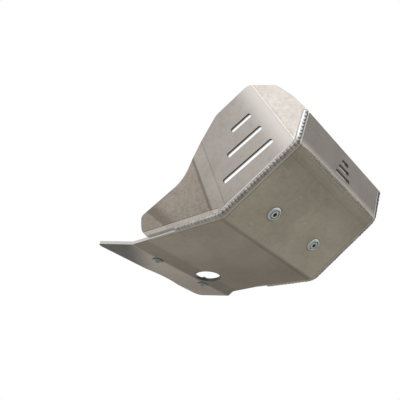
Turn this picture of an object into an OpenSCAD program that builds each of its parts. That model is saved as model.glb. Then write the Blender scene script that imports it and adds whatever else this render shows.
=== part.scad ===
// Skid plate for a dual-sport motorcycle: one folded belly sheet with two
// creased side wings welded to its edges, and its four mounting bolts.
// Front of the bike is -Y, its left side +X, up +Z. The origin is the middle
// of the belly panel's outer face.

/* [Sheet] */
// Thickness of the belly sheet
sheet_t = 4.8; // [3:0.1:6.4]
// Thickness of the side wings
wing_t = 4.8; // [3:0.1:6.4]
// Inside radius of the two front bends
bend_r = 8; // [4:0.5:14]
// Inside radius of the bend ahead of the tail
tail_bend_r = 14; // [6:1:30]
// How far the belly sheet's edge reaches under a wing
corner_lap = 1; // [0.4:0.1:2]

/* [Panels] */
// Length of the flat belly panel, bend to bend
belly_l = 166; // [140:1:200]
// Length of the sloped front panel, bend to bend
front_l = 135; // [115:1:160]
// Length of the steep lip above the front panel
lip_l = 50; // [44:1:70]
// Length of the tail behind the belly
tail_l = 78; // [50:1:100]
// Slope of the front panel above the belly, in degrees
front_rise = 34.5; // [28:0.5:42]
// Slope of the lip above the belly, in degrees
lip_rise = 74.5; // [66:0.5:82]
// Slope of the tail above the belly, in degrees
tail_rise = 12; // [6:0.5:18]
// Width of the sheet at the lip's end
lip_w = 234; // [220:1:250]
// Width of the sheet at the upper front bend
upper_w = 237; // [224:1:254]
// Width of the sheet at the lower front bend
lower_w = 247; // [234:1:264]
// Width of the sheet at the tail bend
rear_w = 244; // [232:1:262]
// Width of the sheet at the tail's end
tail_w = 259; // [240:1:272]
// Radius of the tail's corners
tail_corner_r = 13; // [4:1:18]
// Radius of the lip's corners
lip_corner_r = 7; // [3:1:12]
// Width of the shallow relief in the tail's edge
tail_relief_w = 84; // [50:1:110]
// Depth of the relief in the tail's edge
tail_relief_d = 6; // [2:0.5:10]
// Offset of the tail's relief to the bike's left
tail_relief_x = 26; // [0:1:40]
// Length of the flare that widens the left edge again ahead of the tail bend
flare_l = 20; // [14:1:30]
// Radius of the left edge's corner at the end of the wing's foot
flare_r = 24; // [8:1:30]
// Radius of the left edge's corner where the flare starts
flare_start_r = 12; // [6:1:20]

/* [Side wings] */
// Outward lean of a wing beside the belly, in degrees
wing_lean = 12; // [8:0.5:16]
// Rearward rake of the crease that starts at the upper bend, in degrees
front_crease_rake = 27.5; // [22:0.5:32]
// Rearward rake of the double crease at the lower bend, in degrees
rear_crease_rake = 17.5; // [12:0.5:22]
// Width of the flat strip inside the double crease
crease_strip = 20; // [8:1:24]
// Distance back from the lip's end to the brow corner
brow_run = 37; // [30:1:44]
// Height of the brow corner above the lip's end
brow_rise = 49; // [40:1:56]
// Outward bow of the edge between lip and brow
brow_bow = 3; // [1:0.5:5]
// Radius of the bow between lip and brow
brow_bow_r = 60; // [30:5:80]
// Distance back from the lip's end to the peak
peak_run = 75; // [68:1:82]
// Height of the peak above the belly face
peak_h = 182.5; // [176:0.5:190]
// Height of the shoulder above the belly face
shoulder_h = 150; // [142:1:156]
// Distance of the shoulder behind the lower bend
shoulder_run = 1; // [-6:1:8]
// Distance of the waist behind the lower bend
waist_run = 60; // [54:1:68]
// Height of the waist above the belly face
waist_h = 68; // [60:1:74]
// Distance of the heel behind the lower bend
heel_run = 144.5; // [138:0.5:152]
// Height of the heel's upper corner above the belly face
heel_h = 36; // [30:1:42]
// Height of the heel's lower corner above the belly face
heel_low_h = 14.5; // [10:0.5:18]
// Length of the wing's foot behind the lower bend
foot_l = 131; // [122:1:136]
// Inward toe of the left wing's foot beside the belly, in degrees
left_toe = 8.9; // [4:0.1:11]
// How much shorter the left wing's foot is, to clear the side stand
left_short = 30; // [20:1:40]
// How much further forward the left wing's waist is
left_waist_shift = 10; // [0:1:20]
// Corner radius at the brow
brow_r = 14; // [6:1:20]
// Corner radius at the peak
peak_r = 14; // [6:1:20]
// Corner radius at the shoulder
shoulder_r = 16; // [6:1:24]
// Radius of the hollow at the waist
waist_r = 60; // [30:1:80]
// Corner radius at the heel's upper corner
heel_r = 8; // [4:0.5:12]
// Corner radius at the heel's lower corner
heel_low_r = 16; // [6:1:20]

/* [Vents and holes] */
// Number of vent slots in a wing
vent_count = 3; // [2:1:3]
// Width of a vent slot
vent_w = 7; // [4:0.5:9]
// Length of the lowest vent slot
vent_l = 85; // [74:1:92]
// How much shorter each higher vent slot is
vent_step = 25; // [15:1:30]
// Height of the lowest vent slot above the wing's foot
vent_h = 26.5; // [22:0.5:32]
// Spacing of the vent slots
vent_pitch = 27.5; // [20:0.5:30]
// Distance of the vent slots' front ends from the upper bend
vent_lead = 21.5; // [14:0.5:28]
// Tilt of the vent slots against the wing's foot, in degrees
vent_tilt = 3.5; // [0:0.5:6]
// Number of slots in the lip
lip_slot_count = 3; // [1:1:3]
// Width of a lip slot
lip_slot_w = 5; // [3:0.5:6]
// Length of the lowest lip slot
lip_slot_l = 42; // [34:1:60]
// How much shorter each higher lip slot is
lip_slot_step = 11; // [4:1:12]
// Spacing of the lip slots
lip_slot_pitch = 10; // [8:0.5:12]
// Height of the lowest lip slot above the upper bend
lip_slot_h = 15; // [12:0.5:18]
// Diameter of the oil drain opening
drain_d = 41; // [30:1:44]
// Offset of the drain opening to the bike's left
drain_x = 31; // [0:1:60]
// Distance of the drain opening's centre ahead of the tail bend
drain_lead = 23.5; // [23:0.5:60]

/* [Weld] */
// Radius of the weld bead
weld_r = 3.4; // [3:0.1:3.8]
// Depth of the bead's centre below both outer faces
weld_in = 1.6; // [1.2:0.1:1.8]
// How much the bead thickens where it turns a corner
weld_knot = 0.35; // [0.2:0.05:0.4]
// Distance of the bead's start from the lip's end
weld_lead = 1; // [0.6:0.1:6]
// Length of the bead along the belly, from the lower bend
weld_rear_l = 79; // [60:1:95]

/* [Front fasteners] */
// Distance of the front bolts up the front panel from the lower bend
front_bolt_up = 45; // [32:1:70]
// Distance between the two front bolts
front_bolt_gap = 112; // [80:1:150]
// Diameter of the bolts' shanks
bolt_d = 8; // [6:1:8]
// Length of the front bolts under the head
front_bolt_l = 25; // [20:1:35]
// Diameter of the bolts' necks, between head and thread
neck_d = 7; // [5:0.1:7.4]
// How far a neck reaches past the sheet's inner face
neck_over = 0.4; // [0.2:0.1:2]
// Radial clearance between a shank and its hole
bolt_clear = 0.3; // [0.1:0.1:0.5]
// Outer diameter of a cup washer's rim
cup_d = 22; // [20:0.5:26]
// Height of a cup washer's rim above the panel
cup_h = 2.6; // [1.5:0.1:4]
// Wall of a cup washer
cup_wall = 1.2; // [0.8:0.1:1.5]
// Radial clearance between a cup washer and its hole
cup_clear = 0.15; // [0.05:0.05:0.4]
// Depth of the cup's floor below the panel's outer face
cup_depth = 2.6; // [1.5:0.1:3.2]
// Gap between the cup's barrel and the panel's inner face
cup_short = 0.4; // [0.1:0.1:0.6]
// Radial gap between the socket head and the cup
cup_gap = 0.5; // [0.3:0.1:0.9]
// Height of the cup rim's outer edge
cup_edge = 0.5; // [0.3:0.1:1]
// Radial width of the cup rim's outer shoulder
cup_shoulder = 1.2; // [0.6:0.1:1.6]
// Radial width of the cup rim's inner lead-in
cup_lead_in = 0.6; // [0.4:0.1:0.8]
// Diameter of the socket head
socket_head_d = 13; // [12:0.5:14]
// Height of the socket head
socket_head_h = 5; // [4:0.1:6]
// Chamfer of the socket head's rim
socket_chamfer = 0.8; // [0.3:0.1:1.2]
// Width across flats of the bolts' hexagon sockets
socket_af = 5; // [4:0.5:6]
// Depth of the bolts' hexagon sockets
socket_depth = 2.6; // [1.5:0.1:3.2]

/* [Rear fasteners] */
// Distance of the rear bolts behind the tail bend
rear_bolt_back = 8; // [7:0.5:24]
// Distance between the two rear bolts
rear_bolt_gap = 115; // [80:1:150]
// Width of the rear bolts' slots
rear_slot_w = 9; // [8.8:0.1:10]
// Length of the rear bolts' slots
rear_slot_l = 18; // [14:1:24]
// Length of the rear bolts under the head
rear_bolt_l = 12; // [10:1:35]
// Diameter of the button head
button_d = 14; // [13:0.5:17]
// Height of the button head
button_h = 4.4; // [4:0.1:6]
// Height of the button head's straight rim
button_rim = 0.8; // [0.4:0.1:1.5]

/* [Hidden] */
$fn = 64;

ALUMINIUM = [0.62, 0.60, 0.57];
WELD = [0.80, 0.79, 0.77];
ZINC = [0.66, 0.72, 0.74];

// Points on each arc of a rounded outline
arc_steps = 8;
// Overshoot of a cutting body past the face that it cuts
over = 1;
// Half size of the blocks that stand for half-spaces
reach = 600;
// Height above the sheet at which its side view is closed
bay_h = 60;

// Panels from front to back: lip, front, belly, tail
LIP = 0;
FRONT = 1;
BELLY = 2;
TAIL = 3;
pitches = [-lip_rise, -front_rise, 0, tail_rise];
lengths = [lip_l, front_l, belly_l, tail_l];
widths = [lip_w, upper_w, lower_w, rear_w, tail_w];
bend_radii = [0, bend_r, bend_r, tail_bend_r, 0];

function along(pitch) = [cos(pitch), sin(pitch)];
// Where the panels' outer faces meet, as (y, z) in the side view
lower_corner = [-belly_l / 2, 0];
upper_corner = lower_corner - front_l * along(pitches[FRONT]);
lip_end = upper_corner - lip_l * along(pitches[LIP]);
rear_corner = [belly_l / 2, 0];
tail_end = rear_corner + tail_l * along(pitches[TAIL]);
corners = [lip_end, upper_corner, lower_corner, rear_corner, tail_end];

function turn(i) = i == 0 || i == 4 ? 0 : pitches[i] - pitches[i - 1];
// Direction in the side view that stands on a panel, towards the engine
function upright(pitch) = [-sin(pitch), cos(pitch)];

// Where the panels' faces at height h over their outer faces meet
function face_corner(i, h) = let(
        lean = i == 0 ? pitches[0] : i == 4 ? pitches[3] : (pitches[i] + pitches[i - 1]) / 2)
    corners[i] + h / cos(turn(i) / 2) * upright(lean);
function inner_corner(i) = face_corner(i, sheet_t);

// A wing, drawn on the right side: the line where its inner face stands on the sheet.
// Toe is the angle by which the foot turns inward beside the belly.
function unit(v) = v / norm(v);
right_toe = atan((lower_w - rear_w) / 2 / belly_l);
function foot(i) = [corner_lap - widths[i] / 2, inner_corner(i).x, inner_corner(i).y];
function foot_dir(i, toe) = i == BELLY ? [sin(toe), cos(toe), 0] : unit(foot(i + 1) - foot(i));
// Direction in the plane with normal n that rakes back by the given angle in the side view
function crease_dir(n, rake) = unit([-(n.y * sin(rake) + n.z * cos(rake)) / n.x, sin(rake), cos(rake)]);
function outward(n) = n.x > 0 ? -n : n;
// Both wings share the planes ahead of the lower bend
right_n = outward(unit(cross(foot_dir(BELLY, right_toe), [-sin(wing_lean), 0, cos(wing_lean)])));
rear_crease = crease_dir(right_n, rear_crease_rake);
front_n = outward(unit(cross(foot_dir(FRONT), rear_crease)));
front_crease = crease_dir(front_n, front_crease_rake);
lip_n = outward(unit(cross(foot_dir(LIP), front_crease)));
function belly_n(toe) = outward(unit(cross(foot_dir(BELLY, toe), rear_crease)));
function facet_n(toe) = [lip_n, front_n, belly_n(toe)];
// The flat strip cuts the corner between the front and the belly facet
function strip_n(toe) = unit(front_n + belly_n(toe));
function strip_in(toe) = crease_strip / 2 * tan(acos(front_n * belly_n(toe)) / 2);

// Bead: its centre stays weld_in below the outer faces of panel and facet
function panel_n(i) = [0, sin(pitches[i]), -cos(pitches[i])];
function bead_shift(i, toe) = let(
        n = facet_n(toe)[i],
        c = panel_n(i) * n,
        a = sheet_t - weld_in,
        b = wing_t - weld_in)
    ((a - c * b) * panel_n(i) + (b - c * a) * n) / (1 - c * c);
function bead_path(toe) = [
    foot(0) + bead_shift(LIP, toe) + weld_lead * foot_dir(LIP, toe),
    foot(1) + (bead_shift(LIP, toe) + bead_shift(FRONT, toe)) / 2,
    foot(2) + (bead_shift(FRONT, toe) + bead_shift(BELLY, toe)) / 2,
    foot(2) + bead_shift(BELLY, toe) + weld_rear_l * foot_dir(BELLY, toe)];

// Corner rounded by an arc: the points that replace corner b between a and c
function arc_corner(a, b, c, r) = let(
        u = unit(a - b),
        v = unit(c - b),
        half = acos(u * v) / 2,
        centre = b + unit(u + v) * r / sin(half),
        from = b + u * r / tan(half) - centre,
        side = sign(u.x * v.y - u.y * v.x))
    [for (k = [0:arc_steps]) let(q = side * (180 - 2 * half) * k / arc_steps)
        centre + [from.x * cos(q) + from.y * sin(q), from.y * cos(q) - from.x * sin(q)]];
// Outline whose corners [point, radius] are rounded where the radius isn't 0
function rounded(list) = let(n = len(list)) [for (i = [0:n - 1])
    let(a = list[(i + n - 1) % n][0], b = list[i][0], c = list[(i + 1) % n][0], r = list[i][1])
        each(r > 0 ? arc_corner(a, b, c, r) : [b])];

// Side view of a wing's edge, closed along the sheet's outer face
brow = lip_end + [brow_run, brow_rise];
brow_mid = (lip_end + brow) / 2 + brow_bow * unit([-brow_rise, brow_run]);
function wing_outline(short, waist_shift) = [
    [lip_end, 0],
    [brow_mid, brow_bow_r],
    [brow, brow_r],
    [[lip_end.x + peak_run, peak_h], peak_r],
    [[lower_corner.x + shoulder_run, shoulder_h], shoulder_r],
    [[lower_corner.x + waist_run - waist_shift, waist_h], waist_r],
    [[lower_corner.x + heel_run - short, heel_h], heel_r],
    [[lower_corner.x + heel_run - short, heel_low_h], heel_low_r],
    [[lower_corner.x + foot_l - short, 0], 0],
    [lower_corner, 0],
    [upper_corner, 0]];

// Plan of the sheet's edges: straight from bend to bend on the right; on the left in
// along the wing's foot, straight back, then out to the tail
right_edge = [for (i = [4:-1:0]) [-widths[i] / 2, corners[i].x]];
foot_end = [lower_w / 2, lower_corner.x] + (foot_l - left_short) * [-sin(left_toe), cos(left_toe)];
left_edge = [
    [[lip_w / 2, lip_end.x], 0],
    [[upper_w / 2, upper_corner.x], 0],
    [[lower_w / 2, lower_corner.x], 0],
    [foot_end, flare_r],
    [[foot_end.x, rear_corner.x - flare_l], flare_start_r],
    [[rear_w / 2, rear_corner.x], 0],
    [[tail_w / 2, tail_end.x], 0]];
tail_relief_r = (pow(tail_relief_w / 2, 2) + pow(tail_relief_d, 2)) / (2 * tail_relief_d);

// Sockets, cups and heads
socket_d = socket_af / cos(30);
cup_bore = socket_head_d + 2 * cup_gap;
cup_barrel = cup_bore + 2 * cup_wall;
cup_floor = sheet_t - cup_depth - cup_short;
cup_hole_d = cup_barrel + 2 * cup_clear;

// Puts children in a panel's frame: Y runs back along it, Z into the bay, 0 is the outer face
module on_panel(i) {
    translate([0, corners[i].x, corners[i].y])
        rotate([pitches[i], 0, 0])
            children();
}

// Puts children on the front facet's inner face: X runs forward along the foot, Y up, Z outward
module on_front_facet() {
    x = -foot_dir(FRONT);
    z = front_n;
    y = cross(z, x);
    p = foot(2);
    multmatrix([[x.x, y.x, z.x, p.x], [x.y, y.y, z.y, p.y], [x.z, y.z, z.z, p.z], [0, 0, 0, 1]])
        children();
}

// Mirrors what is drawn on the right side to the bike's left
module on_left() {
    mirror([1, 0, 0])
        children();
}

// Round-ended slot along X, from z0 up
module slot(l, w, z0, h) {
    translate([0, 0, z0]) {
        for (side = [-1, 1])
            translate([side * (l - w) / 2, 0, 0])
                cylinder(d = w, h = h);
        translate([-(l - w) / 2, -w / 2, 0])
            cube([l - w, w, h]);
    }
}

// Side view of what a bend takes off the corner of the face at height h
module bend_gap(i, h) {
    r = bend_radii[i] + sheet_t - h;
    b = face_corner(i, h);
    tangent = r * tan(turn(i) / 2);
    difference() {
        polygon([b - tangent * along(pitches[i - 1]), b, b + tangent * along(pitches[i])]);
        translate(b + tangent * along(pitches[i]) + r * upright(pitches[i]))
            circle(r = r);
    }
}

// Side view of the space above the face at height h, reaching past the sheet's ends;
// its corners are sharp where the sheet isn't bent
module side_above(h, past, bent = true) {
    front = face_corner(0, h) - past * along(pitches[LIP]);
    back = face_corner(4, h) + past * along(pitches[TAIL]);
    difference() {
        polygon(concat(
            [front],
            [for (i = [FRONT:TAIL]) face_corner(i, h)],
            [back, back + bay_h * upright(pitches[TAIL]), front + bay_h * upright(pitches[LIP])]));
        if (bent)
            for (i = [FRONT:TAIL])
                bend_gap(i, h);
    }
}

// Side view of the sheet, from its inner face down to the given depth
module side_sheet(depth = sheet_t, bent = true) {
    difference() {
        side_above(sheet_t - depth, 0, bent);
        side_above(sheet_t, over, bent);
    }
}

// Extrudes a side view across the bike, from x = -w to w
module across(w) {
    translate([-w, 0, 0])
        rotate([90, 0, 90])
            linear_extrude(2 * w)
                children();
}

// What rounding a corner at (x, y) takes off, where s gives the outline's side
module corner_off(x, y, sx, sy, r) {
    translate([x, y, -over])
        difference() {
            translate([sx > 0 ? -r : -over, sy > 0 ? -r : -over, 0])
                cube([r + over, r + over, sheet_t + 2 * over]);
            translate([-sx * r, -sy * r, -over])
                cylinder(r = r, h = sheet_t + 4 * over);
        }
}

// Folded sheet without its holes and rounded corners
module sheet_blank(bent = true) {
    intersection() {
        across(reach)
            side_sheet(sheet_t, bent);
        translate([0, 0, -over])
            linear_extrude(peak_h)
                polygon(concat(right_edge, rounded(left_edge)));
    }
}

module belly_sheet() {
    color(ALUMINIUM)
        difference() {
            sheet_blank();
            // Rounded corners of the tail and of the lip
            for (s = [-1, 1]) {
                on_panel(TAIL)
                    corner_off(s * tail_w / 2, tail_l, s, 1, tail_corner_r);
                on_panel(LIP)
                    corner_off(s * lip_w / 2, 0, s, -1, lip_corner_r);
            }
            // Relief in the tail's edge
            on_panel(TAIL)
                translate([tail_relief_x, tail_l - tail_relief_d + tail_relief_r, -over])
                    cylinder(r = tail_relief_r, h = sheet_t + 2 * over);
            // Slots in the lip
            for (k = [0:lip_slot_count - 1])
                on_panel(LIP)
                    translate([0, lip_l - lip_slot_h - k * lip_slot_pitch, 0])
                        slot(lip_slot_l - k * lip_slot_step, lip_slot_w, -over, sheet_t + 2 * over);
            // Holes for the cup washers
            for (s = [-1, 1])
                on_panel(FRONT)
                    translate([s * front_bolt_gap / 2, front_l - front_bolt_up, -over])
                        cylinder(d = cup_hole_d, h = sheet_t + 2 * over);
            // Oil drain opening
            translate([drain_x, rear_corner.x - drain_lead, -over])
                cylinder(d = drain_d, h = sheet_t + 2 * over);
            // Slots for the rear bolts
            for (s = [-1, 1])
                on_panel(TAIL)
                    translate([s * rear_bolt_gap / 2, rear_bolt_back, 0])
                        slot(rear_slot_l, rear_slot_w, -over, sheet_t + 2 * over);
        }
}

// Everything on the inner side of the plane through p with outward normal n
module behind(p, n) {
    translate(p)
        rotate([0, acos(n.z), atan2(n.y, n.x)])
            translate([-reach, -reach, -2 * reach])
                cube(2 * reach);
}

// Space inside a wing's creased face, moved out by the given shift
module inside_facets(shift, toe) {
    intersection() {
        intersection_for(i = [LIP:BELLY])
            behind(foot(i) + shift * facet_n(toe)[i], facet_n(toe)[i]);
        behind(foot(2) + (shift - strip_in(toe)) * strip_n(toe), strip_n(toe));
    }
}

// Wing without its slots
module wing_blank(toe, short, waist_shift, bent = true) {
    difference() {
        intersection() {
            inside_facets(wing_t, toe);
            across(reach)
                difference() {
                    polygon(rounded(wing_outline(short, waist_shift)));
                    side_sheet(2 * sheet_t, bent);
                }
        }
        inside_facets(0, toe);
    }
}

module wing(toe, short, waist_shift) {
    color(ALUMINIUM)
        difference() {
            wing_blank(toe, short, waist_shift);
            on_front_facet()
                translate([front_l - vent_lead, vent_h, 0])
                    rotate([0, 0, -vent_tilt])
                        for (k = [0:vent_count - 1])
                            translate([-(vent_l - k * vent_step) / 2, k * vent_pitch, 0])
                                slot(vent_l - k * vent_step, vent_w, -over, wing_t + 2 * over);
        }
}

module right_wing() {
    wing(right_toe, 0, 0);
}

module left_wing() {
    on_left()
        wing(left_toe, left_short, left_waist_shift);
}

// Round bar from a to b
module bead_run(a, b) {
    d = unit(b - a);
    translate(a)
        rotate([0, acos(d.z), atan2(d.y, d.x)])
            cylinder(r = weld_r, h = norm(b - a));
}

// Bead along a wing; the sharp forms trim it, and its children are the sheet's
module weld(toe, short, waist_shift) {
    path = bead_path(toe);
    color(WELD)
        difference() {
            union() {
                for (i = [0:2])
                    bead_run(path[i], path[i + 1]);
                for (i = [1:3])
                    translate(path[i])
                        sphere(r = weld_r + weld_knot);
            }
            children();
            wing_blank(toe, short, waist_shift, false);
        }
}

module right_weld() {
    weld(right_toe, 0, 0)
        sheet_blank(false);
}

module left_weld() {
    on_left()
        weld(left_toe, left_short, left_waist_shift)
            on_left()
                sheet_blank(false);
}

// Places children at a front bolt: Z points out of the front panel, 0 is its outer face
module at_front_bolt(s) {
    on_panel(FRONT)
        translate([s * front_bolt_gap / 2, front_l - front_bolt_up, 0])
            rotate([180, 0, 0])
                children();
}

// Places children at a rear bolt: Z points out of the tail, 0 is its outer face
module at_rear_bolt(s) {
    on_panel(TAIL)
        translate([s * rear_bolt_gap / 2, rear_bolt_back, 0])
            rotate([180, 0, 0])
                children();
}

// Cup washer: a domed rim on the panel and a barrel through it that holds the head
module cup_washer() {
    crest = (cup_barrel + cup_d) / 4;
    color(ZINC)
        rotate_extrude()
            polygon([
                [cup_d / 2, 0],
                [cup_d / 2, cup_edge],
                [crest + cup_shoulder, cup_h - cup_edge],
                [crest, cup_h],
                [cup_bore / 2 + cup_lead_in, cup_h],
                [cup_bore / 2, cup_h - cup_lead_in],
                [cup_bore / 2, -cup_depth],
                [bolt_d / 2 + bolt_clear, -cup_depth],
                [bolt_d / 2 + bolt_clear, -cup_depth - cup_floor],
                [cup_barrel / 2, -cup_depth - cup_floor],
                [cup_barrel / 2, 0]]);
}

// Hexagon socket sunk from z = 0 down
module hex_socket() {
    translate([0, 0, -socket_depth])
        cylinder(d = socket_d, h = socket_depth + over, $fn = 6);
}

// Shank of length l below z = 0: a neck, then the thread's outside diameter to the end
module shank(l, neck_l) {
    translate([0, 0, -neck_l])
        cylinder(d = neck_d, h = neck_l);
    translate([0, 0, -l])
        cylinder(d = bolt_d, h = l - neck_l);
}

// Socket head bolt, seated at z = 0
module socket_bolt() {
    color(ZINC)
        difference() {
            union() {
                cylinder(d = socket_head_d, h = socket_head_h - socket_chamfer);
                translate([0, 0, socket_head_h - socket_chamfer])
                    cylinder(
                        d1 = socket_head_d,
                        d2 = socket_head_d - 2 * socket_chamfer,
                        h = socket_chamfer);
                shank(front_bolt_l, sheet_t - cup_depth + neck_over);
            }
            translate([0, 0, socket_head_h])
                hex_socket();
        }
}

// Button head bolt, seated at z = 0
module button_bolt() {
    dome_h = button_h - button_rim;
    dome_r = (pow(button_d / 2, 2) + pow(dome_h, 2)) / (2 * dome_h);
    color(ZINC)
        difference() {
            union() {
                intersection() {
                    cylinder(d = button_d, h = button_h);
                    translate([0, 0, button_h - dome_r])
                        sphere(r = dome_r);
                }
                shank(rear_bolt_l, sheet_t + neck_over);
            }
            translate([0, 0, button_h])
                hex_socket();
        }
}

module front_cup_washer(s) {
    at_front_bolt(s)
        cup_washer();
}

module front_bolt(s) {
    at_front_bolt(s)
        translate([0, 0, -cup_depth])
            socket_bolt();
}

module rear_bolt(s) {
    at_rear_bolt(s)
        button_bolt();
}

belly_sheet();
right_wing();
left_wing();
right_weld();
left_weld();
front_cup_washer(-1);  // front_cup_washer_right
front_cup_washer(1);  // front_cup_washer_left
front_bolt(-1);  // front_bolt_right
front_bolt(1);  // front_bolt_left
rear_bolt(-1);  // rear_bolt_right
rear_bolt(1);  // rear_bolt_left
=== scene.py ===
"""Skid plate of a dual-sport motorcycle: finish, weld beads and fasteners around the CAD frame.

Everything is in the row frame, in metres: the origin is the middle of the belly panel's outer
face, -Y the front of the bike, +X its left and +Z up.
"""
from math import atan, cos, pi, radians, sin, sqrt

import bmesh
import bpy
import numpy as np
from mathutils import Matrix, Vector


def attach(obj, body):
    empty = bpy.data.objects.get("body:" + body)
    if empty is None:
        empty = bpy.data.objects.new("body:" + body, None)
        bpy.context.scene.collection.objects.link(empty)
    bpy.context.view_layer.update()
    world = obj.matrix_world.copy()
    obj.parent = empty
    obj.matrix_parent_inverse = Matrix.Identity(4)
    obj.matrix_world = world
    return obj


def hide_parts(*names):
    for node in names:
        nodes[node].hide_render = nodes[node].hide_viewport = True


MM = 0.001

# Sizes that part.scad also holds, in millimetres and degrees.
# The sheet: its thickness, the lengths and pitches of its panels, its widths and its opening
SHEET_T = 4.8
LIP_L, FRONT_L, BELLY_L, TAIL_L = 50, 135, 166, 78
LIP_PITCH, FRONT_PITCH, TAIL_PITCH = -74.5, -34.5, 12
LIP_W, UPPER_W, LOWER_W, REAR_W, TAIL_W = 234, 237, 247, 244, 259
FLARE_L = 20
DRAIN_R, DRAIN_X, DRAIN_Y = 20.5, 31, 59.5
# The wings: their thickness, how far their inner faces stand in from the sheet's edge, their
# lean, the rakes of their creases, the strip's width, and the length of their feet on the belly
WING_T, CORNER_LAP = 4.8, 1
WING_LEAN, REAR_RAKE, FRONT_RAKE = 12, 17.5, 27.5
STRIP_W = 20
RIGHT_FOOT_L, LEFT_FOOT_L = 131, 101
# Angle between each wing's foot on the belly and the middle plane, in radians
RIGHT_TOE, LEFT_TOE = atan((LOWER_W - REAR_W) / 2 / BELLY_L), radians(8.9)
# The beads: how deep they lie in the joint, where they start on the lip and end on the belly
WELD_IN, WELD_LEAD, WELD_REAR_L = 1.6, 1, 79
# The fasteners: thread and neck, length of the shanks, their places, and the cup's depth
BOLT_D, NECK_D, FRONT_BOLT_L, REAR_BOLT_L = 8, 7, 25, 12
FRONT_BOLT_UP, FRONT_BOLT_GAP = 45, 112
REAR_BOLT_BACK, REAR_BOLT_GAP = 8, 115
CUP_DEPTH = 2.6

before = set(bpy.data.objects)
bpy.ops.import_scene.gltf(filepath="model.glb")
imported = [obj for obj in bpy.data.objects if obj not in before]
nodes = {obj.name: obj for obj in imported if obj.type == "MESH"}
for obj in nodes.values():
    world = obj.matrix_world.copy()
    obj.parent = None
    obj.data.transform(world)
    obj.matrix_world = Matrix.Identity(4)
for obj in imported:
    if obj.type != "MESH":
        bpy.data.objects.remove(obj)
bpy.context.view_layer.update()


# ---------------------------------------------------------------- geometry of the folded sheet
def along(pitch):
    """Direction in the side view, as (y, z), that runs back along a panel."""
    return np.array([cos(radians(pitch)), sin(radians(pitch))])


def upright(pitch):
    """Direction in the side view that stands on a panel, towards the engine."""
    return np.array([-sin(radians(pitch)), cos(radians(pitch))])


# Corners of the outer face in the side view, and the panels and widths behind the first three
lower = np.array([-BELLY_L / 2, 0.0])
upper = lower - FRONT_L * along(FRONT_PITCH)
lip_end = upper - LIP_L * along(LIP_PITCH)
rear = np.array([BELLY_L / 2, 0.0])
CORNERS = [lip_end, upper, lower]
PITCHES = [LIP_PITCH, FRONT_PITCH, 0]
WIDTHS = [LIP_W, UPPER_W, LOWER_W]

front_bolts = upper + (FRONT_L - FRONT_BOLT_UP) * along(FRONT_PITCH)
rear_bolts = rear + REAR_BOLT_BACK * along(TAIL_PITCH)


def inner_corner(i):
    """Where the inner faces of panels i - 1 and i meet, in the side view."""
    if i == 0:
        return lip_end + SHEET_T * upright(LIP_PITCH)
    lean = (PITCHES[i] + PITCHES[i - 1]) / 2
    half = radians(PITCHES[i] - PITCHES[i - 1]) / 2
    return CORNERS[i] + SHEET_T / cos(half) * upright(lean)


def unit(v):
    """The vector at length 1."""
    return np.asarray(v, float) / np.linalg.norm(v)


def foot(i):
    """Point on the right side where the wing's inner face stands on the sheet."""
    return np.array([CORNER_LAP - WIDTHS[i] / 2, *inner_corner(i)])


def foot_dir(i, toe):
    """Direction of the right wing's foot along panel i, towards the rear."""
    if i == 2:
        return np.array([sin(toe), cos(toe), 0])
    return unit(foot(i + 1) - foot(i))


def outward(n):
    """The normal of a face on the right side, turned to the outside."""
    return -n if n[0] > 0 else n


def crease_dir(n, rake):
    """Direction in the face with normal n that shows with that rake in the side view."""
    s, c = sin(radians(rake)), cos(radians(rake))
    return unit([-(n[1] * s + n[2] * c) / n[0], s, c])


def facet_normals(toe):
    """Outward normals of the right wing's lip, front and belly facets."""
    lean = radians(WING_LEAN)
    right_n = outward(unit(np.cross(foot_dir(2, RIGHT_TOE), [-sin(lean), 0, cos(lean)])))
    rear_crease = crease_dir(right_n, REAR_RAKE)
    front_n = outward(unit(np.cross(foot_dir(1, 0), rear_crease)))
    front_crease = crease_dir(front_n, FRONT_RAKE)
    lip_n = outward(unit(np.cross(foot_dir(0, 0), front_crease)))
    belly_n = outward(unit(np.cross(foot_dir(2, toe), rear_crease)))
    return [lip_n, front_n, belly_n]


def crease_points(toe):
    """Point (y, z) and direction of each of the right wing's outer creases in the side view:
    at the lip, ahead of the strip and behind it."""
    lip_n, front_n, belly_n = facet_normals(toe)
    strip_n = unit(front_n + belly_n)
    strip_in = STRIP_W / 2 * sqrt(max(0.0, (1 - front_n @ belly_n) / (1 + front_n @ belly_n)))

    def meet(p, n_a, t_a, n_b, t_b):
        """Where the planes that stand t_a and t_b off point p meet."""
        c = n_a @ n_b
        a, b = (t_a - c * t_b) / (1 - c * c), (t_b - c * t_a) / (1 - c * c)
        line = np.cross(n_a, n_b)
        return (p + a * n_a + b * n_b)[1:], unit(line[1:] * np.sign(line[2]))

    return [meet(foot(1), lip_n, WING_T, front_n, WING_T),
            meet(foot(2), front_n, WING_T, strip_n, WING_T - strip_in),
            meet(foot(2), strip_n, WING_T - strip_in, belly_n, WING_T)]


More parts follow.
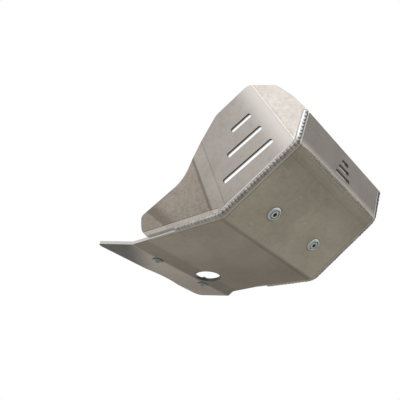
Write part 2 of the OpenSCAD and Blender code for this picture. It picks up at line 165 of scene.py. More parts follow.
# ---------------------------------------------------------------- node helpers
class Nodes:
    """Short calls that build one material's node tree."""

    def __init__(self, name):
        self.material = bpy.data.materials.new(name)
        self.material.use_nodes = True
        self.tree = self.material.node_tree
        self.shader = self.tree.nodes["Principled BSDF"]
        self.coord = self.add("ShaderNodeTexCoord").outputs["Object"]

    def add(self, kind, **settings):
        node = self.tree.nodes.new(kind)
        for key, value in settings.items():
            setattr(node, key, value)
        return node

    def put(self, socket, value):
        """Links a socket, or sets its value."""
        if isinstance(value, bpy.types.NodeSocket):
            self.tree.links.new(value, socket)
        else:
            socket.default_value = value

    def math(self, op, a, b=0.0, c=0.0):
        node = self.add("ShaderNodeMath", operation=op)
        for socket, value in zip(node.inputs, (a, b, c)):
            self.put(socket, value)
        return node.outputs[0]

    def plus(self, a, b):
        return self.math("ADD", a, b)

    def minus(self, a, b):
        return self.math("SUBTRACT", a, b)

    def times(self, total, *values):
        for value in values:
            total = self.math("MULTIPLY", total, value)
        return total

    def xyz(self):
        node = self.add("ShaderNodeSeparateXYZ")
        self.put(node.inputs[0], self.coord)
        return node.outputs

    def stretched(self, scale):
        node = self.add("ShaderNodeVectorMath", operation="MULTIPLY")
        self.put(node.inputs[0], self.coord)
        node.inputs[1].default_value = scale
        return node.outputs[0]

    def noise(self, scale, detail, rough, vector=None, distortion=0.0):
        node = self.add("ShaderNodeTexNoise")
        self.put(node.inputs["Vector"], vector or self.coord)
        node.inputs["Scale"].default_value = scale
        node.inputs["Detail"].default_value = detail
        node.inputs["Roughness"].default_value = rough
        node.inputs["Distortion"].default_value = distortion
        return node.outputs["Fac"]

    def dot(self, vector, direction, start=0.0):
        """Component of a vector along a direction, less a start value."""
        node = self.add("ShaderNodeVectorMath", operation="DOT_PRODUCT")
        self.put(node.inputs[0], vector)
        node.inputs[1].default_value = tuple(direction)
        return self.minus(node.outputs["Value"], start)

    def normal(self):
        """Normal of the surface, which tells cut faces and undersides from the rest."""
        return self.add("ShaderNodeNewGeometry").outputs["Normal"]

    def attribute(self, name):
        return self.add("ShaderNodeAttribute", attribute_name=name).outputs["Fac"]

    def span(self, value, lo, hi, out_lo=0.0, out_hi=1.0, smooth=True):
        """Maps lo..hi to out_lo..out_hi, held at both ends."""
        kind = "SMOOTHSTEP" if smooth else "LINEAR"
        node = self.add("ShaderNodeMapRange", interpolation_type=kind, clamp=True)
        for key, v in zip(("Value", "From Min", "From Max", "To Min", "To Max"),
                          (value, lo, hi, out_lo, out_hi)):
            self.put(node.inputs[key], v)
        return node.outputs[0]

    def rise(self, value, lo, hi):
        """0 to 1 as a length in metres goes from lo to hi millimetres."""
        return self.span(value, lo * MM, hi * MM)

    def fall(self, value, lo, hi):
        """1 to 0 as a length in metres goes from lo to hi millimetres."""
        return self.span(value, lo * MM, hi * MM, 1.0, 0.0)

    def near(self, value, width, soft):
        """1 where a distance in metres is under width, falling to 0 over soft millimetres."""
        return self.fall(self.math("ABSOLUTE", value), width, width + soft)

    def mix(self, factor, a, b, blend="MIX"):
        node = self.add("ShaderNodeMix", data_type="RGBA", blend_type=blend)
        self.put(node.inputs[0], factor)
        for socket, value in ((node.inputs[6], a), (node.inputs[7], b)):
            self.put(socket, value if isinstance(value, bpy.types.NodeSocket) else (*value, 1.0))
        return node.outputs[2]

    def tint(self, factor, tone, colour):
        return self.mix(factor, tone, colour, "MULTIPLY")

    def bump(self, height, distance, normal=None):
        node = self.add("ShaderNodeBump")
        self.put(node.inputs["Height"], height)
        node.inputs["Distance"].default_value = distance
        node.inputs["Strength"].default_value = 1.0
        if normal:
            self.put(node.inputs["Normal"], normal)
        return node.outputs[0]


def half_width(n, y, points):
    """Half width of the sheet at y, from points (y, half width) in millimetres on an outline
    that bulges outward."""
    result = None
    for (y0, w0), (y1, w1) in zip(points, points[1:]):
        slope = (w1 - w0) / (y1 - y0)
        line = n.math("MULTIPLY_ADD", y, slope, (w0 - slope * y0) * MM)
        result = line if result is None else n.math("MINIMUM", result, line)
    return result


def side_line(n, point, direction):
    """Signed distance in the side view from the line through a point in millimetres."""
    _, y, z = n.xyz()
    py, pz = point
    dy, dz = direction
    side = n.math("MULTIPLY_ADD", y, dz, (pz * dy - py * dz) * MM)
    return n.minus(side, n.times(z, dy))


def run_along(n, corner, pitch, offset=0.0):
    """Distance back along a panel from one of its corners, less an offset in millimetres."""
    _, y, z = n.xyz()
    c, s = along(pitch)
    run = n.math("MULTIPLY_ADD", y, c, -MM * (corner @ (c, s) + offset))
    return n.plus(run, n.times(z, s))


# ---------------------------------------------------------------- finish of the sheets
def aluminium(name, paint):
    """Mill-finish sheet: clouds, mottling, specks and a fine grain. paint(n, tone, rough) adds
    what lies along the edges and bends, and gives the colour and roughness back."""
    n = Nodes(name)
    n.cloud = n.noise(13.0, 4.0, 0.6, distortion=0.4)
    n.mottle = n.noise(150.0, 5.0, 0.7)
    n.speck = n.noise(430.0, 2.0, 0.6)
    grain = n.noise(1.0, 3.0, 0.6, vector=n.stretched((900.0, 26.0, 900.0)))
    scratch = n.noise(1.0, 1.0, 0.5, vector=n.stretched((60.0, 700.0, 240.0)))

    tone = n.mix(n.span(n.cloud, 0.32, 0.68), (0.345, 0.316, 0.288), (0.415, 0.384, 0.354))
    tone = n.mix(n.span(n.mottle, 0.4, 0.7, 0.0, 0.35), tone, (0.475, 0.435, 0.40))
    tone = n.mix(n.span(n.mottle, 0.3, 0.5, 0.22, 0.0), tone, (0.26, 0.225, 0.195))
    tone = n.mix(n.span(n.speck, 0.6, 0.75, 0.0, 0.35), tone, (0.20, 0.18, 0.16))
    tone = n.mix(n.span(scratch, 0.70, 0.74, 0.0, 0.25), tone, (0.60, 0.57, 0.54))
    rough = n.span(n.mottle, 0.3, 0.7, 0.36, 0.48, smooth=False)
    n.shader.inputs["Metallic"].default_value = 1.0
    tone, rough = paint(n, tone, rough)
    n.put(n.shader.inputs["Base Color"], tone)
    n.put(n.shader.inputs["Roughness"], rough)
    n.put(n.shader.inputs["Normal"], n.bump(n.speck, 0.00006, n.bump(grain, 0.00004)))
    return n.material


def cleaned(n, tone, rough, distance, width, joint, strength):
    """Band that was linished for welding, up to width millimetres from the edge, where joint
    is 1."""
    wobble = n.span(n.cloud, 0.0, 1.0, -0.7 * MM, 0.7 * MM, smooth=False)
    d = n.plus(distance, wobble)
    inside = n.times(n.fall(d, width - 0.6, width), joint, n.span(n.speck, 0.2, 0.8, 0.7, 1.0))
    rim = n.times(n.near(n.minus(d, (width + 0.3) * MM), 0.25, 0.8), joint)
    tone = n.mix(n.times(inside, strength), tone, (0.62, 0.585, 0.55))
    tone = n.mix(n.times(rim, 0.7 * strength), tone, (0.10, 0.09, 0.08))
    return tone, n.minus(rough, n.times(inside, 0.10))


def cut_edge(n, tone, distance):
    """Bright sawn edge with a line of painted shade beside it."""
    tone = n.mix(n.times(n.near(distance, 0.9, 0.5), 0.5), tone, (0.12, 0.11, 0.10))
    return n.mix(n.near(distance, 0.18, 0.1), tone, (0.58, 0.565, 0.55))


# The sheet's outline as (y, half width): ahead of the belly, and from the tail bend back. The
# left side follows the wing's foot, and widens again over FLARE_L ahead of the tail bend
FRONT_EDGE = [(lip_end[0], LIP_W / 2), (upper[0], UPPER_W / 2), (lower[0], LOWER_W / 2)]
TAIL_EDGE = [(rear[0], REAR_W / 2), (rear[0] + TAIL_L * along(TAIL_PITCH)[0], TAIL_W / 2)]
left_foot = (lower[0] + LEFT_FOOT_L * cos(LEFT_TOE), LOWER_W / 2 - LEFT_FOOT_L * sin(LEFT_TOE))
FLARE_EDGE = [(rear[0] - FLARE_L, left_foot[1])] + TAIL_EDGE
right_foot_y = lower[0] + RIGHT_FOOT_L

# Painted highlights and shade along the bends, and a thin press line below the upper one: corner,
# panel, offset, half width, softness, strength and colour
BEND_LIGHT_AND_PRESS_LINES = [
    (upper, LIP_PITCH, -7.0, 1.5, 5.0, 0.16, (0.66, 0.63, 0.59)),
    (upper, (LIP_PITCH + FRONT_PITCH) / 2, -1.0, 2.0, 2.4, 0.40, (0.74, 0.70, 0.66)),
    (upper, FRONT_PITCH, 7.0, 1.5, 3.5, 0.16, (0.60, 0.56, 0.52)),
    (upper, FRONT_PITCH, 17.0, 0.4, 1.0, 0.16, (0.13, 0.12, 0.11)),
    (lower, FRONT_PITCH, -2.0, 1.5, 4.0, 0.14, (0.60, 0.58, 0.52)),
    (lower, 0, 5.2, 1.2, 3.4, 0.30, (0.10, 0.09, 0.08)),
    (rear, TAIL_PITCH, -1.0, 0.8, 1.6, 0.12, (0.12, 0.11, 0.10))]

# Painted contact shadows round the cup washers and the rear bolts: distance between the two, place
# in the side view, inner and outer radius, strength and colour
CONTACT_SHADOWS = [
    (FRONT_BOLT_GAP, front_bolts, 11.3, 12.6, 0.7, (0.07, 0.07, 0.065)),
    (REAR_BOLT_GAP, rear_bolts, 7.6, 12.0, 0.9, (0.06, 0.05, 0.04))]


def paint_panels(n, tone, x, y):
    """Painted light and shade on the belly sheet's panels, with wavy borders, and painted shade on
    its tail.
    """
    wave = n.span(n.noise(22.0, 3.0, 0.5), 0.2, 0.8, -2.5 * MM, 2.5 * MM, smooth=False)
    wavy = n.plus(y, wave)
    wavy_x = n.plus(x, n.times(wave, 4.0))

    # Painted light and shade on each panel: the lip darker, the front panel lighter and greener
    # with painted shade over its upper part, the belly lighter with painted shade towards the
    # bike's left, and the tail lighter
    lip = n.fall(y, upper[0] - 2.6, upper[0] - 1.0)
    tone = n.tint(lip, tone, (0.62, 0.60, 0.60))
    front = n.times(n.minus(1.0, lip), n.fall(y, lower[0] - 3, lower[0] + 3))
    tone = n.tint(front, tone, (1.25, 1.28, 1.20))
    high = n.times(n.fall(wavy, upper[0] + 6, upper[0] + 56), front)
    tone = n.tint(high, tone, (0.80, 0.79, 0.79))
    belly = n.rise(y, lower[0] - 3, lower[0] + 3)
    tone = n.tint(belly, tone, (1.10, 1.10, 1.06))
    tone = n.tint(n.times(belly, n.rise(wavy_x, -100, 80)), tone, (0.72, 0.71, 0.70))
    tail = n.rise(y, rear[0] + 1, rear[0] + 5)
    tone = n.tint(tail, tone, (1.22, 1.20, 1.18))

    # Painted shade in a strip ahead of the tail bend, and painted shade on the underside that
    # fades from the tail's right corner
    strip = n.times(n.rise(wavy, 49, 58), n.fall(wavy, 83, 90), 0.30)
    tone = n.mix(strip, tone, (0.14, 0.125, 0.11))
    slant = n.minus(n.plus(run_along(n, rear, TAIL_PITCH), wave),
                    n.times(n.plus(x, TAIL_W / 2 * MM), 0.9))
    below = n.span(n.dot(n.normal(), (0, 0, -1)), 0.3, 0.6)
    tail_shade = n.times(n.rise(slant, -56, 18), tail, below, 0.86)
    return n.mix(tail_shade, tone, (0.02, 0.019, 0.018))


def paint_belly(n, tone, rough):
    """Finish of the belly sheet: panels with painted light and shade, bends with painted
    highlights and shade and a press line, painted contact shadows, drain rim and sides.
    """
    x, y, _ = n.xyz()
    tone = paint_panels(n, tone, x, y)
    fold = n.near(run_along(n, upper, LIP_PITCH), 2.5, 2.0)
    rough = n.plus(rough, n.times(fold, 0.22))
    for corner, pitch, offset, half, soft, strength, colour in BEND_LIGHT_AND_PRESS_LINES:
        mark = n.near(run_along(n, corner, pitch, offset), half, soft)
        tone = n.mix(n.times(mark, strength), tone, colour)
    for side in (-1, 1):
        for gap, (seat_y, seat_z), inner, outer, strength, colour in CONTACT_SHADOWS:
            away = n.add("ShaderNodeVectorMath", operation="DISTANCE")
            n.put(away.inputs[0], n.coord)
            away.inputs[1].default_value = (side * gap / 2 * MM, seat_y * MM, seat_z * MM)
            line = n.fall(away.outputs["Value"], inner, outer)
            tone = n.mix(n.times(line, strength), tone, colour)

    # Dark rim round the drain opening
    dx, dy = n.minus(x, DRAIN_X * MM), n.minus(y, DRAIN_Y * MM)
    from_drain = n.math("SQRT", n.plus(n.times(dx, dx), n.times(dy, dy)))
    rim = n.times(n.fall(from_drain, DRAIN_R + 0.5, DRAIN_R + 1.4), 0.9)
    tone = n.mix(rim, tone, (0.06, 0.055, 0.05))

    # Sides, cleaned as far back as the wings' feet
    right = n.math("MAXIMUM", half_width(n, y, FRONT_EDGE + TAIL_EDGE[:1]),
                   half_width(n, y, TAIL_EDGE))
    left = n.math("MAXIMUM", half_width(n, y, FRONT_EDGE + [left_foot]), left_foot[1] * MM)
    left = n.math("MAXIMUM", left, half_width(n, y, FLARE_EDGE))
    distance = n.math("MINIMUM", n.plus(x, right), n.minus(left, x))
    end = n.span(x, -10 * MM, 10 * MM, right_foot_y * MM, left_foot[0] * MM, smooth=False)
    joint = n.rise(n.minus(end, y), 0.0, 2)
    tone, rough = cleaned(n, tone, rough, distance, 4.6, joint, 0.75)
    return cut_edge(n, tone, distance), rough


# A point of the lower border of the painted shadow across the wings' heel in the side view, and
# its direction
SHADOW_AT, SHADOW_RUN = (28, 21.5), (1, 0.86)
# The vent slots' field on the front facet: from and to, up from its foot and ahead of its rear
SLOTS_UP, SLOTS_AHEAD = (20, 94), (14, 123)


def paint_facets(n, tone, y, strip_side, rear_side):
    """Painted shade darkens the rear facet, which is also browner and more mottled, and painted
    light brightens the strip; a painted shadow lies across the heel, which painted shade darkens
    further.
    """
    behind = n.rise(rear_side, -1, 1)
    grit = n.noise(240.0, 4.0, 0.72, distortion=0.6)
    brown_and_shade = n.mix(n.span(grit, 0.38, 0.64), (0.66, 0.61, 0.56), (0.92, 0.89, 0.86))
    brown_and_shade = n.mix(n.span(n.cloud, 0.35, 0.65, 0.0, 0.6), brown_and_shade, (0.90, 0.86, 0.82))
    tone = n.tint(n.times(behind, 0.85), tone, brown_and_shade)
    tone = n.tint(n.rise(strip_side, -1, 1), tone, (1.08, 1.07, 1.05))
    wobble = n.span(n.cloud, 0.2, 0.8, -2 * MM, 2 * MM, smooth=False)
    shadow_edge = n.plus(side_line(n, SHADOW_AT, unit(SHADOW_RUN)), wobble)
    heel_shadow = n.times(n.rise(shadow_edge, -21, -7), n.fall(shadow_edge, 0.0, 2), behind, 0.5)
    tone = n.mix(heel_shadow, tone, (0.13, 0.11, 0.095))
    heel = n.times(n.rise(y, 0.0, 50), behind)
    return n.tint(heel, tone, (0.84, 0.83, 0.82))


def paint_creases(n, tone, lip_side, strip_side, rear_side):
    """A painted highlight along the rounded crease at the lip with painted shade beside it, a thin
    dark press line at the strip's front crease, and painted shade along its rear crease.
    """
    rolled = n.times(n.fall(lip_side, 1.0, 36), n.span(lip_side, -2 * MM, 0.0, 0.17, 0.82))
    tone = n.mix(rolled, tone, (0.70, 0.665, 0.63))
    beside = n.times(n.near(n.plus(lip_side, 1.0 * MM), 1.0, 2.5), 0.5)
    tone = n.tint(beside, tone, (0.80, 0.79, 0.78))
    tone = n.mix(n.times(n.near(strip_side, 0.25, 0.7), 0.42), tone, (0.14, 0.12, 0.11))
    crease_shade = n.times(n.near(n.minus(rear_side, 1.2 * MM), 0.8, 2.8), 0.5)
    return n.mix(crease_shade, tone, (0.11, 0.10, 0.09))


def paint_cuts(n, tone, toe, side):
    """Cut faces are bright and rough, with painted shade on the vent slots' walls in their outer
    half.
    """
    mirror = np.array([side, 1, 1])
    facet = facet_normals(toe)[1]
    forward = -foot_dir(1, toe)
    facing = n.math("ABSOLUTE", n.dot(n.normal(), facet * mirror))
    cut = n.span(facing, 0.35, 0.6, 1.0, 0.0)
    depth, up, ahead = (n.dot(n.coord, d * mirror, foot(2) @ d * MM)
                        for d in (facet, np.cross(facet, forward), forward))
    field = []
    for place, (lo, hi) in ((up, SLOTS_UP), (ahead, SLOTS_AHEAD)):
        field += [n.rise(place, lo, lo + 1), n.fall(place, hi - 1, hi)]
    tone = n.mix(cut, tone, (0.78, 0.78, 0.79))
    slot_wall_shade = n.times(*field, cut, n.rise(depth, 2.0, 2.6))
    n.put(n.shader.inputs["Metallic"], n.minus(1.0, n.times(cut, 0.8)))
    return n.mix(slot_wall_shade, tone, (0.015, 0.014, 0.013))


def paint_foot(n, tone, rough, y, z):
    """Band along the foot, cleaned for the weld: wide on the belly, narrow at the front."""
    level = None
    for corner, pitch in ((upper, LIP_PITCH), (lower, FRONT_PITCH), (lower, 0)):
        uy, uz = upright(pitch)
        above = n.plus(n.math("MULTIPLY_ADD", y, uy, -MM * (corner @ (uy, uz) + SHEET_T)),
                       n.times(z, uz))
        level = above if level is None else n.math("MINIMUM", level, above)
    wide = n.rise(y, lower[0], lower[0] + 6)
    narrow = n.times(n.fall(y, lower[0], lower[0] + 6), n.rise(y, upper[0], upper[0] + 8))
    tone, rough = cleaned(n, tone, rough, level, 6.6, wide, 0.6)
    return n.mix(n.times(n.near(level, 2.2, 0.8), narrow), tone, (0.62, 0.59, 0.56)), rough


def wing_paint(toe, side):
    """Finish of the wing whose foot has that toe: side is 1 for the right one and -1 for the
    left one, which is its mirror image."""
    def paint(n, tone, rough):
        _, y, z = n.xyz()
        lip_side, strip_side, rear_side = (side_line(n, *line) for line in crease_points(toe))
        tone = paint_facets(n, tone, y, strip_side, rear_side)
        tone = paint_creases(n, tone, lip_side, strip_side, rear_side)
        tone = paint_cuts(n, tone, toe, side)
        return paint_foot(n, tone, rough, y, z)
    return paint


# ---------------------------------------------------------------- finish of beads and fasteners
def metal(n, tone, cloud, rough, rough_to, fine, bump):
    """Finishes a bare metal's shader: colour, cloudy roughness and a fine bump."""
    n.put(n.shader.inputs["Base Color"], tone)
    n.put(n.shader.inputs["Roughness"], n.span(cloud, 0.3, 0.7, rough, rough_to, smooth=False))
    n.put(n.shader.inputs["Normal"], n.bump(fine, bump))
    n.shader.inputs["Metallic"].default_value = 1.0
    return n.material


def weld_material():
    """Weld metal with a painted highlight on the lip, and dark grooves of painted shade in the
    ripples' hollows and on the bead's shaded flank, which fade on the belly.
    """
    n = Nodes("weld_bead")
    cloud = n.noise(60.0, 3.0, 0.6)
    fine = n.noise(600.0, 2.0, 0.6)
    y = n.xyz()[1]
    lip = n.fall(y, upper[0] - 4, upper[0] + 4)
    bend = (lower[0] - 5) * MM, (lower[0] + 15) * MM
    tone = n.mix(n.span(cloud, 0.35, 0.65), (0.38, 0.37, 0.35), (0.50, 0.49, 0.47))
    tone = n.mix(lip, tone, (0.80, 0.80, 0.80))
    tone = n.mix(n.span(y, *bend, 0.0, 0.6), tone, (0.62, 0.61, 0.58))
    patch = n.span(n.noise(170.0, 2.0, 0.6), 0.4, 0.62, 0.0, 0.4)
    tone = n.tint(patch, tone, (0.55, 0.54, 0.52))
    tone = n.mix(n.span(fine, 0.55, 0.75, 0.0, 0.3), tone, (0.26, 0.25, 0.24))
    depth = n.math("MAXIMUM", n.span(y, *bend, 0.75, 0.45), n.times(lip, 0.93))
    # Painted shade where the bead's groove values say so
    dark = n.times(n.span(n.attribute("groove"), 0.25, 0.85), depth)
    tone = n.mix(dark, tone, (0.085, 0.082, 0.078))
    return metal(n, tone, cloud, 0.28, 0.42, fine, 0.00005)


def zinc_material(name, light, dark, rough):
    """Plated steel, with painted shade in black where a piece's "groove" values say so."""
    n = Nodes(name)
    cloud = n.noise(160.0, 3.0, 0.6)
    fine = n.noise(1400.0, 2.0, 0.5)
    tone = n.mix(n.span(cloud, 0.3, 0.7), dark, light)
    tone = n.mix(n.attribute("groove"), tone, (0.02, 0.022, 0.022))
    return metal(n, tone, cloud, rough, rough + 0.12, fine, 0.00002)


belly_finish = aluminium("belly_aluminium", paint_belly)
right_finish = aluminium("right_wing_aluminium", wing_paint(RIGHT_TOE, 1))
left_finish = aluminium("left_wing_aluminium", wing_paint(LEFT_TOE, -1))
weld_finish = weld_material()
cup_finish = zinc_material("cup_zinc", (0.64, 0.71, 0.72), (0.47, 0.54, 0.55), 0.26)
bolt_finish = zinc_material("bolt_zinc", (0.74, 0.78, 0.78), (0.56, 0.61, 0.62), 0.20)
button_finish = zinc_material("button_zinc", (0.30, 0.42, 0.44), (0.20, 0.30, 0.32), 0.28)


# ---------------------------------------------------------------- mesh helpers
def mesh_object(name, verts, faces, material, smooth_angle):
    """A closed mesh from points in the row frame, in metres."""
    mesh = bpy.data.meshes.new(name)
    mesh.from_pydata([tuple(v) for v in verts], [], faces)
    bm = bmesh.new()
    bm.from_mesh(mesh)
    bmesh.ops.recalc_face_normals(bm, faces=bm.faces)
    bm.to_mesh(mesh)
    bm.free()
    mesh.materials.append(material)
    mesh.shade_smooth()
    mesh.set_sharp_from_angle(angle=radians(smooth_angle))
    obj = bpy.data.objects.new(name, mesh)
    bpy.context.scene.collection.objects.link(obj)
    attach(obj, "root")
    return obj


def set_grooves(obj, values):
    """Gives every vertex the value by which the materials paint shade on it."""
    obj.data.attributes.new("groove", "FLOAT", "POINT").data.foreach_set("value", values)


def grid_faces(rings, n, looped=False):
    """Quads between closed rings of n points. The last ring joins the first one if they are
    looped, and otherwise a face closes each end."""
    starts = [(i * n, (i + 1) % rings * n) for i in range(rings if looped else rings - 1)]
    faces = [(a + j, a + (j + 1) % n, b + (j + 1) % n, b + j) for a, b in starts for j in range(n)]
    if not looped:
        faces.append(tuple(range(n))[::-1])
        faces.append(tuple((rings - 1) * n + j for j in range(n)))
    return faces


# ---------------------------------------------------------------- weld beads
# Sampling of the bead's sweep: step, points round it, and reach of the blend at a corner
BEAD_STEP, BEAD_SIDES, CORNER_BLEND = 0.4, 36, 9.0
# How far the bead leans up onto the wing
BEAD_LIFT = 0.9
# Ripples: spacing and its spread, radius in their grooves, height and its spread, and how far
# their sides trail the crown
DIME_PITCH, PITCH_SPREAD = 5.63, 0.17
BEAD_R, RIPPLE_H, HEIGHT_SPREAD = 3.3, 0.6, 0.3
RIPPLE_TRAIL = 1.7


def bead_frames(toe):
    """Centre line of the right bead, its tangents, and its crown directions, corner blended;
    a bead's section is drawn from the crown towards the wing."""
    normals = facet_normals(toe)
    panels = [np.array([0, *(-upright(p))]) for p in PITCHES]
    shifts, crowns = [], []
    for panel_n, facet_n in zip(panels, normals):
        c = panel_n @ facet_n
        a = SHEET_T - WELD_IN
        shifts.append(((a - c * a) * panel_n + (a - c * a) * facet_n) / (1 - c * c))
        crowns.append(unit(panel_n + facet_n))
    feet = [foot(0), foot(1), foot(2)]
    path = [feet[0] + shifts[0] + WELD_LEAD * foot_dir(0, toe),
            feet[1] + (shifts[0] + shifts[1]) / 2,
            feet[2] + (shifts[1] + shifts[2]) / 2,
            feet[2] + shifts[2] + WELD_REAR_L * foot_dir(2, toe)]
    lengths = [np.linalg.norm(b - a) for a, b in zip(path, path[1:])]
    ends = np.cumsum([0] + lengths)
    s = np.linspace(0, ends[-1], int(ends[-1] / BEAD_STEP))
    points, tangents, ups = [], [], []
    for v in s:
        k = min(int(np.searchsorted(ends, v, side="right")) - 1, 2)
        d = unit(path[k + 1] - path[k])
        p = path[k] + (v - ends[k]) * d
        up = crowns[k]
        for j in (1, 2):
            off = (v - ends[j]) / CORNER_BLEND
            if abs(off) < 1:
                before, after = unit(path[j] - path[j - 1]), unit(path[j + 1] - path[j])
                w = (off + 1) / 2
                p = path[j] + CORNER_BLEND * ((w * w) * after - ((1 - w) ** 2) * before)
                d = unit((1 - w) * before + w * after)
                up = unit((1 - w) * crowns[j - 1] + w * crowns[j])
        points.append(p)
        tangents.append(d)
        ups.append(unit(up - (up @ d) * d))
    return s, np.array(points), np.array(tangents), np.array(ups)


def held(value):
    """A value held between 0 and 1."""
    return min(1.0, max(0.0, value))


def weld_bead(name, node, toe, mirror, seed):
    """A stack of crescent ripples, each lapped over the last, along the joint. They reach the
    wing along the front and the belly, and the panel along the lip."""
    rng = np.random.default_rng(seed)
    s, points, tangents, ups = bead_frames(toe)
    sides = np.cross(tangents, ups)
    points = points + BEAD_LIFT * (sides - ups) * sqrt(0.5)
    total = s[-1]
    lip_run = LIP_L + WELD_LEAD
    count = int(total / DIME_PITCH) + 8
    spacing = DIME_PITCH * (1 + rng.uniform(-PITCH_SPREAD, PITCH_SPREAD, count))
    ends = np.cumsum(spacing) - DIME_PITCH
    swell = rng.uniform(-HEIGHT_SPREAD, HEIGHT_SPREAD, count)
    verts, grooves = [], []
    for i, v in enumerate(s):
        # The bead tapers off at both ends, and its ripples change sides behind the lip
        ease = min(1.0, (v + 0.5) / 3.0, (total - v + 0.4) / 4.0)
        cap = 0.3 + 0.7 * sqrt(max(0.0, 1 - (1 - ease) ** 2))
        lip = held((lip_run + 6 - v) / 12)
        for q in np.linspace(-pi, pi, BEAD_SIDES, endpoint=False):
            # Angle q runs from the panel over the crown to the wing
            rippled = (1 - lip) * held((q + 0.85) / 0.4) + lip * held((0.5 - q) / 0.4)
            at = v + RIPPLE_TRAIL * (1 - cos(q - 0.3))
            k = min(int(np.searchsorted(ends, at)), count - 1)
            start = ends[k - 1] if k else -DIME_PITCH
            u = held((at - start) / (ends[k] - start))
            dome = 1 - abs(2 * u - 1) ** 2.4
            teeth = held((0.55 - dome * 0.75 - q) / 0.3) if q > -1.7 else 0.0
            dome = 1 - (1 - dome) * rippled
            r = (BEAD_R + RIPPLE_H * dome * (1 + swell[k] * rippled)) * cap
            # Painted shade in the ripples' hollows, and on the lip along the bead's side towards
            # the panel
            grooves.append((1 - lip) * (1 - dome) + lip * teeth)
            verts.append((points[i] + r * (cos(q) * ups[i] + sin(q) * sides[i])) * MM)
    verts = np.array(verts)
    if mirror:
        verts[:, 0] *= -1
    bead = mesh_object(name, verts, grid_faces(len(s), BEAD_SIDES), weld_finish, 75)
    set_grooves(bead, grooves)
    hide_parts(node)


weld_bead("right_bead", "right_weld", RIGHT_TOE, False, 3)
weld_bead("left_bead", "left_weld", LEFT_TOE, True, 8)


# ---------------------------------------------------------------- fasteners
# Points round a lathed piece
TURN = 96
THREAD_PITCH, THREAD_DEPTH = 1.25, 0.66
# Heads of the socket bolts in front and of the button bolts behind
HEAD_H, HEAD_R, KNURLS, KNURL_DEPTH = 5.0, 6.5, 36, 0.09
BUTTON_H, BUTTON_R, BUTTON_RIM, BUTTON_MOUTH = 4.4, 7.0, 0.8, 3.7
# How far each bolt is turned, in degrees
BOLT_TURN = 17


def seat(pitch, place, x):
    """Matrix of a fastener's seat on the outer face of a panel: Z points out."""
    up = upright(pitch)
    out, across = Vector((0, -up[0], -up[1])), Vector((1, 0, 0))
    m = Matrix.Identity(4)
    for row in range(3):
        m[row][0], m[row][1], m[row][2] = across[row], out.cross(across)[row], out[row]
    m.translation = Vector((x, *place)) * MM
    return m


def lathe(profile, place):
    """Rings of TURN points at a seat for (radius, height) pairs in millimetres; a radius may be
    a function of the angle and height."""
    rings = []
    for r, z in profile:
        for j in range(TURN):
            q = 2 * pi * j / TURN
            radius = r(q, z) if callable(r) else r
            rings.append((radius * cos(q), radius * sin(q), z))
    return [place @ Vector(p) for p in np.array(rings) * MM]


def fastener(name, node, profile, place, material, black, smooth_angle, looped=False):
    """A lathed piece at a seat, which stands for the CAD node. Rings whose numbers are in black
    are painted black as shade, and a looped profile closes on itself."""
    faces = grid_faces(len(profile), TURN, looped)
    obj = mesh_object(name, lathe(profile, place), faces, material, smooth_angle)
    set_grooves(obj, np.repeat([1.0 if i in black else 0.0 for i in range(len(profile))], TURN))
    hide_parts(node)


def hexagon(af):
    """Radius of a hexagon with that width across flats, by angle."""
    def radius(q, _):
        part = (q + pi / 6) % (pi / 3) - pi / 6
        return af / 2 / cos(part)
    return radius


def knurl(q, _):
    """Radius of the socket bolts' heads, by angle."""
    return HEAD_R - KNURL_DEPTH * (1 + cos(KNURLS * q)) / 2


def thread(q, z):
    """Radius of a rounded V thread, by angle and height."""
    u = (z / THREAD_PITCH - q / (2 * pi)) % 1.0
    return BOLT_D / 2 - THREAD_DEPTH * (1 - abs(2 * u - 1)) ** 0.85


def shank_profile(length, neck_l):
    """From the head's underside to the tip: a plain neck, the thread, and a chamfered end."""
    steps = int((length - neck_l - 1.4) / (THREAD_PITCH / 7))
    tip = BOLT_D / 2 - 0.9
    return ([(NECK_D / 2, 0.0), (NECK_D / 2, -neck_l + 0.1), (BOLT_D / 2 - 0.55, -neck_l - 0.1)]
            + [(thread, z) for z in np.linspace(-neck_l - 0.7, -length + 0.7, steps)]
            + [(tip + 0.2, -length + 0.35), (tip, -length)])


def socket_profile(top, af, depth, mouth):
    """From the socket's floor up to the head's top face, inside out."""
    hexa = hexagon(af)
    floor = top - depth
    return [(af * 0.16, floor - 0.5), (lambda q, z: hexa(q, z) * 0.98, floor),
            (hexa, floor + 0.05), (hexa, top - 0.35),
            (lambda q, z: hexa(q, z) + 0.12, top - 0.1), (mouth, top)]


def socket_bolt_profile():
    """A knurled socket head bolt whose head stands on the cup washer's floor."""
    under = -CUP_DEPTH
    top = under + HEAD_H
    side = [(HEAD_R - 1.1, top), (HEAD_R - 0.75, top - 0.12), (HEAD_R - 0.2, top - 0.55),
            (knurl, top - 0.8), (knurl, under + 0.4), (HEAD_R - 0.3, under)]
    shank = [((lambda q, z: thread(q, z - under)) if r is thread else r, z + under)
             for r, z in shank_profile(FRONT_BOLT_L, SHEET_T + under + 0.4)]
    return socket_profile(top, af=6.0, depth=2.6, mouth=4.2) + side + shank


def button_bolt_profile():
    """A button head bolt that stands on the sheet."""
    dome_h = BUTTON_H - BUTTON_RIM
    dome_r = (BUTTON_R ** 2 + dome_h ** 2) / (2 * dome_h)
    dome = [(r, BUTTON_H - dome_r + sqrt(dome_r ** 2 - r * r))
            for r in np.linspace(BUTTON_MOUTH, BUTTON_R - 0.12, 12)]
    side = dome[1:] + [(BUTTON_R, BUTTON_RIM - 0.12), (BUTTON_R, 0.25), (BUTTON_R - 0.3, 0.0)]
    return (socket_profile(dome[0][1], af=5.0, depth=2.3, mouth=BUTTON_MOUTH) + side
            + shank_profile(REAR_BOLT_L, SHEET_T + 0.4))


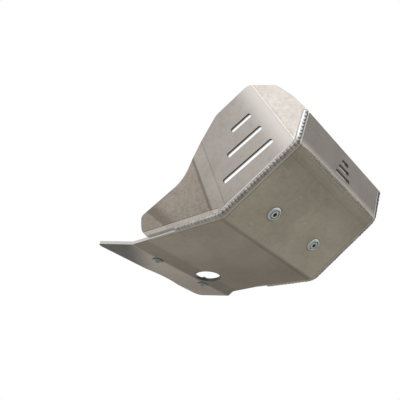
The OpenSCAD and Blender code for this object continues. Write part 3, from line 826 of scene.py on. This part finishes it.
def cup_profile():
    """A pressed cup washer: rolled rim on the panel, and a barrel that holds the head."""
    bore, barrel, rim, hole = 7.0, 8.2, 11.0, 4.3
    floor_top, floor_low = -CUP_DEPTH, -4.4
    return [(hole, floor_low + 0.15), (hole, floor_top), (bore - 0.5, floor_top),
            (bore, floor_top + 0.4), (bore, 1.55), (bore + 0.12, 2.05), (bore + 0.42, 2.42),
            (bore + 0.85, 2.58), (bore + 1.4, 2.55), (bore + 2.0, 2.3), (bore + 2.7, 1.75),
            (bore + 3.3, 1.05), (bore + 3.75, 0.45), (rim, 0.2), (rim, 0.02),
            (barrel, 0.02), (barrel, floor_low + 0.3), (barrel - 0.3, floor_low)]


# Painted shade, black, on the cups' floor and bore, the sockets' floor, and the gap between head
# and cup
for side, label in ((-1, "right"), (1, "left")):
    at_front = seat(FRONT_PITCH, front_bolts, side * FRONT_BOLT_GAP / 2)
    at_rear = seat(TAIL_PITCH, rear_bolts, side * REAR_BOLT_GAP / 2)
    turned = Matrix.Rotation(radians(BOLT_TURN * side), 4, "Z")
    fastener(f"cup_{label}", f"front_cup_washer_{label}", cup_profile(), at_front,
             cup_finish, (1, 2, 3, 4), 50, looped=True)
    fastener(f"socket_bolt_{label}", f"front_bolt_{label}", socket_bolt_profile(),
             at_front @ turned, bolt_finish, (0, 1, 8, 9, 10, 11), 32)
    fastener(f"button_bolt_{label}", f"rear_bolt_{label}", button_bolt_profile(),
             at_rear @ turned, button_finish, (0, 1, 2), 32)


# ---------------------------------------------------------------- CAD nodes
for node, finish in (("belly_sheet", belly_finish), ("right_wing", right_finish),
                     ("left_wing", left_finish)):
    nodes[node].data.materials.clear()
    nodes[node].data.materials.append(finish)


# ---------------------------------------------------------------- stage, light and camera
FLOOR_SIZE, FLOOR_Z = 60.0, -1.25


def floor_plane(size, z):
    """A pale matt floor, in metres."""
    mesh = bpy.data.meshes.new("floor")
    h = size / 2
    mesh.from_pydata([(-h, -h, z), (h, -h, z), (h, h, z), (-h, h, z)], [], [(0, 1, 2, 3)])
    floor = bpy.data.objects.new("floor", mesh)
    bpy.context.scene.collection.objects.link(floor)
    n = Nodes("floor")
    tone = n.mix(n.noise(1.2, 2.0, 0.55), (0.70, 0.67, 0.60), (0.73, 0.70, 0.63))
    n.put(n.shader.inputs["Base Color"], tone)
    n.shader.inputs["Roughness"].default_value = 0.9
    mesh.materials.append(n.material)


def area_light(name, place, target, size, power, colour):
    """A rectangular light aimed at a target; its size is in metres and its power in watts."""
    data = bpy.data.lights.new(name, "AREA")
    data.shape = "RECTANGLE"
    data.size, data.size_y = size
    data.energy = power
    data.color = colour
    lamp = bpy.data.objects.new(name, data)
    lamp.location = place
    lamp.rotation_euler = (Vector(target) - Vector(place)).to_track_quat("-Z", "Y").to_euler()
    bpy.context.scene.collection.objects.link(lamp)


def white_world():
    """A white surround for the camera and for reflections, and a softer light on the rest."""
    world = bpy.data.worlds.new("world")
    bpy.context.scene.world = world
    world.use_nodes = True
    tree = world.node_tree
    back = tree.nodes["Background"]
    path = tree.nodes.new("ShaderNodeLightPath")
    seen = path.outputs["Is Camera Ray"]
    for other in ("Is Glossy Ray", "Is Transmission Ray"):
        either = tree.nodes.new("ShaderNodeMath")
        either.operation = "MAXIMUM"
        tree.links.new(seen, either.inputs[0])
        tree.links.new(path.outputs[other], either.inputs[1])
        seen = either.outputs[0]
    mix = tree.nodes.new("ShaderNodeMix")
    mix.data_type = "RGBA"
    tree.links.new(seen, mix.inputs[0])
    mix.inputs[6].default_value = (0.62, 0.62, 0.63, 1.0)
    mix.inputs[7].default_value = (1.0, 1.0, 1.0, 1.0)
    tree.links.new(mix.outputs[2], back.inputs[0])
    back.inputs[1].default_value = 1.0


def photo_camera():
    """The camera of the photograph, from the fit of the panels' corners, washers and opening."""
    data = bpy.data.cameras.new("camera")
    data.sensor_fit = "HORIZONTAL"
    data.sensor_width = 36.0
    data.lens = 46.76
    data.clip_start = 0.01
    camera = bpy.data.objects.new("camera", data)
    camera.location = (-0.593872, -0.446930, -0.320433)
    camera.rotation_euler = (radians(120.0737), radians(-4.1507), radians(-51.7045))
    bpy.context.scene.collection.objects.link(camera)
    bpy.context.scene.camera = camera


floor_plane(FLOOR_SIZE, FLOOR_Z)
white_world()
area_light("key", place=(-1.61, -0.38, 1.14), target=(-0.13, -0.17, 0.14), size=(0.5, 0.5),
           power=3.6, colour=(0.96, 0.98, 1.0))
photo_camera()
bpy.context.scene.view_settings.view_transform = "Standard"
